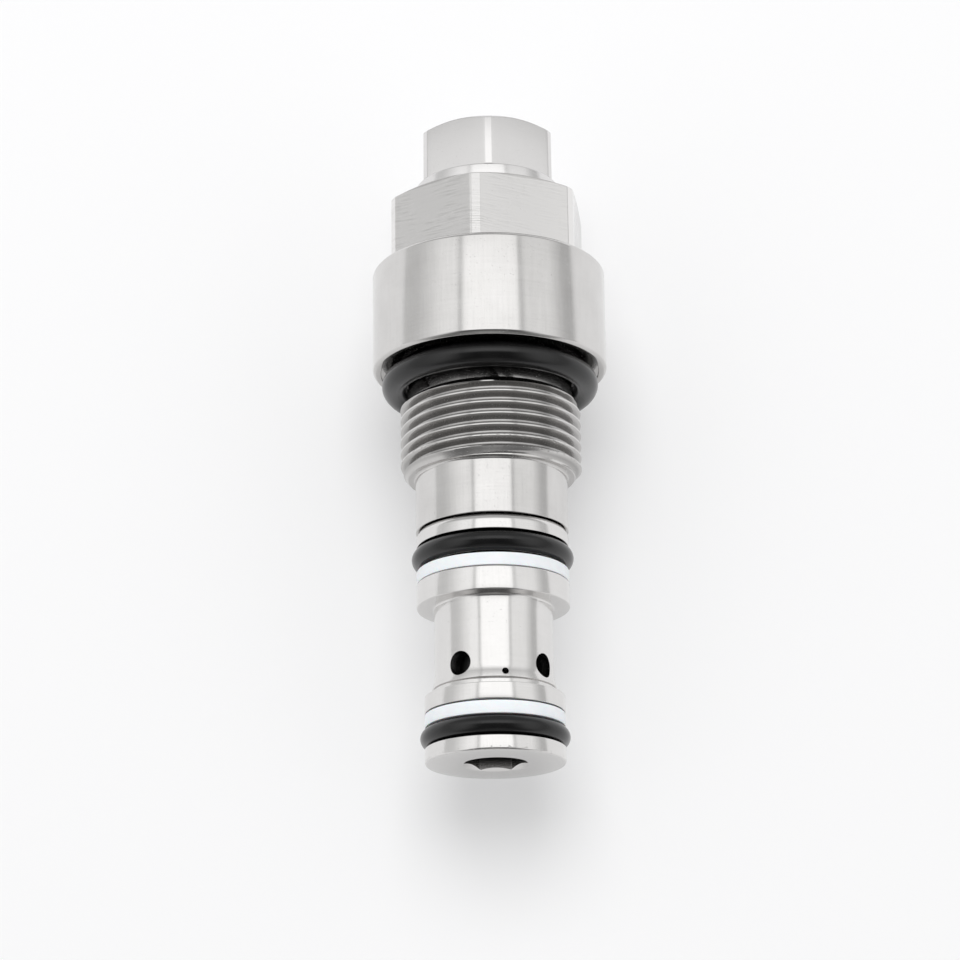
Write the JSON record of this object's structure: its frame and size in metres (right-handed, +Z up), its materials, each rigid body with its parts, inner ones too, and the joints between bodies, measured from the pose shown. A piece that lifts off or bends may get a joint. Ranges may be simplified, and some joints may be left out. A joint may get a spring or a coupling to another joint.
{
  "type": "cartridge relief valve",
  "caption": "Screw-in hydraulic cartridge valve: sealed sleeve with cross holes, threaded housing with collar and hexagon, and an adjusting screw under a lock nut",
  "frame": {"origin": "on the ground under the middle of the valve's bounding box, with the collar resting on the ground", "axes": "the valve's axis lies along Y with the nose towards -Y and the lock nut towards +Y; +Z is up"},
  "size_m": [0.0432, 0.1222, 0.0433],
  "materials": {
    "machined_steel": "turned and milled steel, bright, with fine tool marks",
    "sleeve_steel": "finely turned steel, bright",
    "nut_steel": "satin steel wrench flats with turned corners",
    "inner_steel": "hardened ground steel",
    "spring_steel": "drawn spring wire, dark",
    "brass": "machined brass",
    "black_rubber": "moulded nitrile rubber with a light oil film",
    "white_backup": "virgin PTFE, slightly translucent white"
  },
  "bodies": {
    "valve_body": {"housing": "machined_steel", "sleeve": "sleeve_steel", "pilot_seat": "inner_steel", "pilot_seat_o_ring": "black_rubber", "sleeve_o_ring": "black_rubber", "collar_o_ring": "black_rubber", "upper_o_ring": "black_rubber", "upper_backup_ring": "white_backup", "lower_backup_ring": "white_backup", "lower_o_ring": "black_rubber", "main_spring": "spring_steel", "pilot_spring": "spring_steel"},
    "main_poppet": {"main_poppet": "inner_steel", "orifice_plug": "brass"},
    "pilot_poppet": {"pilot_poppet": "inner_steel"},
    "plunger": {"spring_plunger": "inner_steel", "plunger_o_ring": "black_rubber", "plunger_backup_ring": "white_backup", "spring_shim": "inner_steel"},
    "adjusting_screw": {"adjusting_screw": "inner_steel"},
    "seal_washer": {"seal_washer": "nut_steel", "washer_o_ring": "black_rubber"},
    "lock_nut": {"lock_nut": "nut_steel"}
  },
  "joints": [
    {"name": "main_poppet_slide", "type": "slide", "parent": "valve_body", "child": "main_poppet", "axis": [0, 1, 0], "range_m": [0, 0.004], "stiffness_N_per_m": 2500, "springref_m": -0.004, "deforming": ["main_spring"]},
    {"name": "pilot_poppet_slide", "type": "slide", "parent": "valve_body", "child": "pilot_poppet", "axis": [0, 1, 0], "range_m": [0, 0.0004], "stiffness_N_per_m": 4000, "springref_m": -0.003, "deforming": ["pilot_spring"]},
    {"name": "adjuster_travel", "type": "slide", "parent": "valve_body", "child": "plunger", "axis": [0, 1, 0], "range_m": [-0.0045, 0], "deforming": ["pilot_spring"]},
    {"name": "adjuster_turn", "type": "hinge", "parent": "plunger", "child": "adjusting_screw", "pos_m": [0, 0.05, 0.02165], "axis": [0, 1, 0], "range_deg": [-1081, 0]},
    {"name": "nut_lift", "type": "slide", "parent": "valve_body", "child": "seal_washer", "axis": [0, 1, 0], "range_m": [0, 0.003]},
    {"name": "nut_turn", "type": "hinge", "parent": "seal_washer", "child": "lock_nut", "pos_m": [0, 0.055, 0.02165], "axis": [0, 1, 0], "range_deg": [0, 721]}
  ],
  "couplings": [
    {"joint": "adjuster_turn", "follows": "adjuster_travel", "rad_per_m": 4188.8},
    {"joint": "nut_turn", "follows": "nut_lift", "rad_per_m": 4188.8}
  ]
}
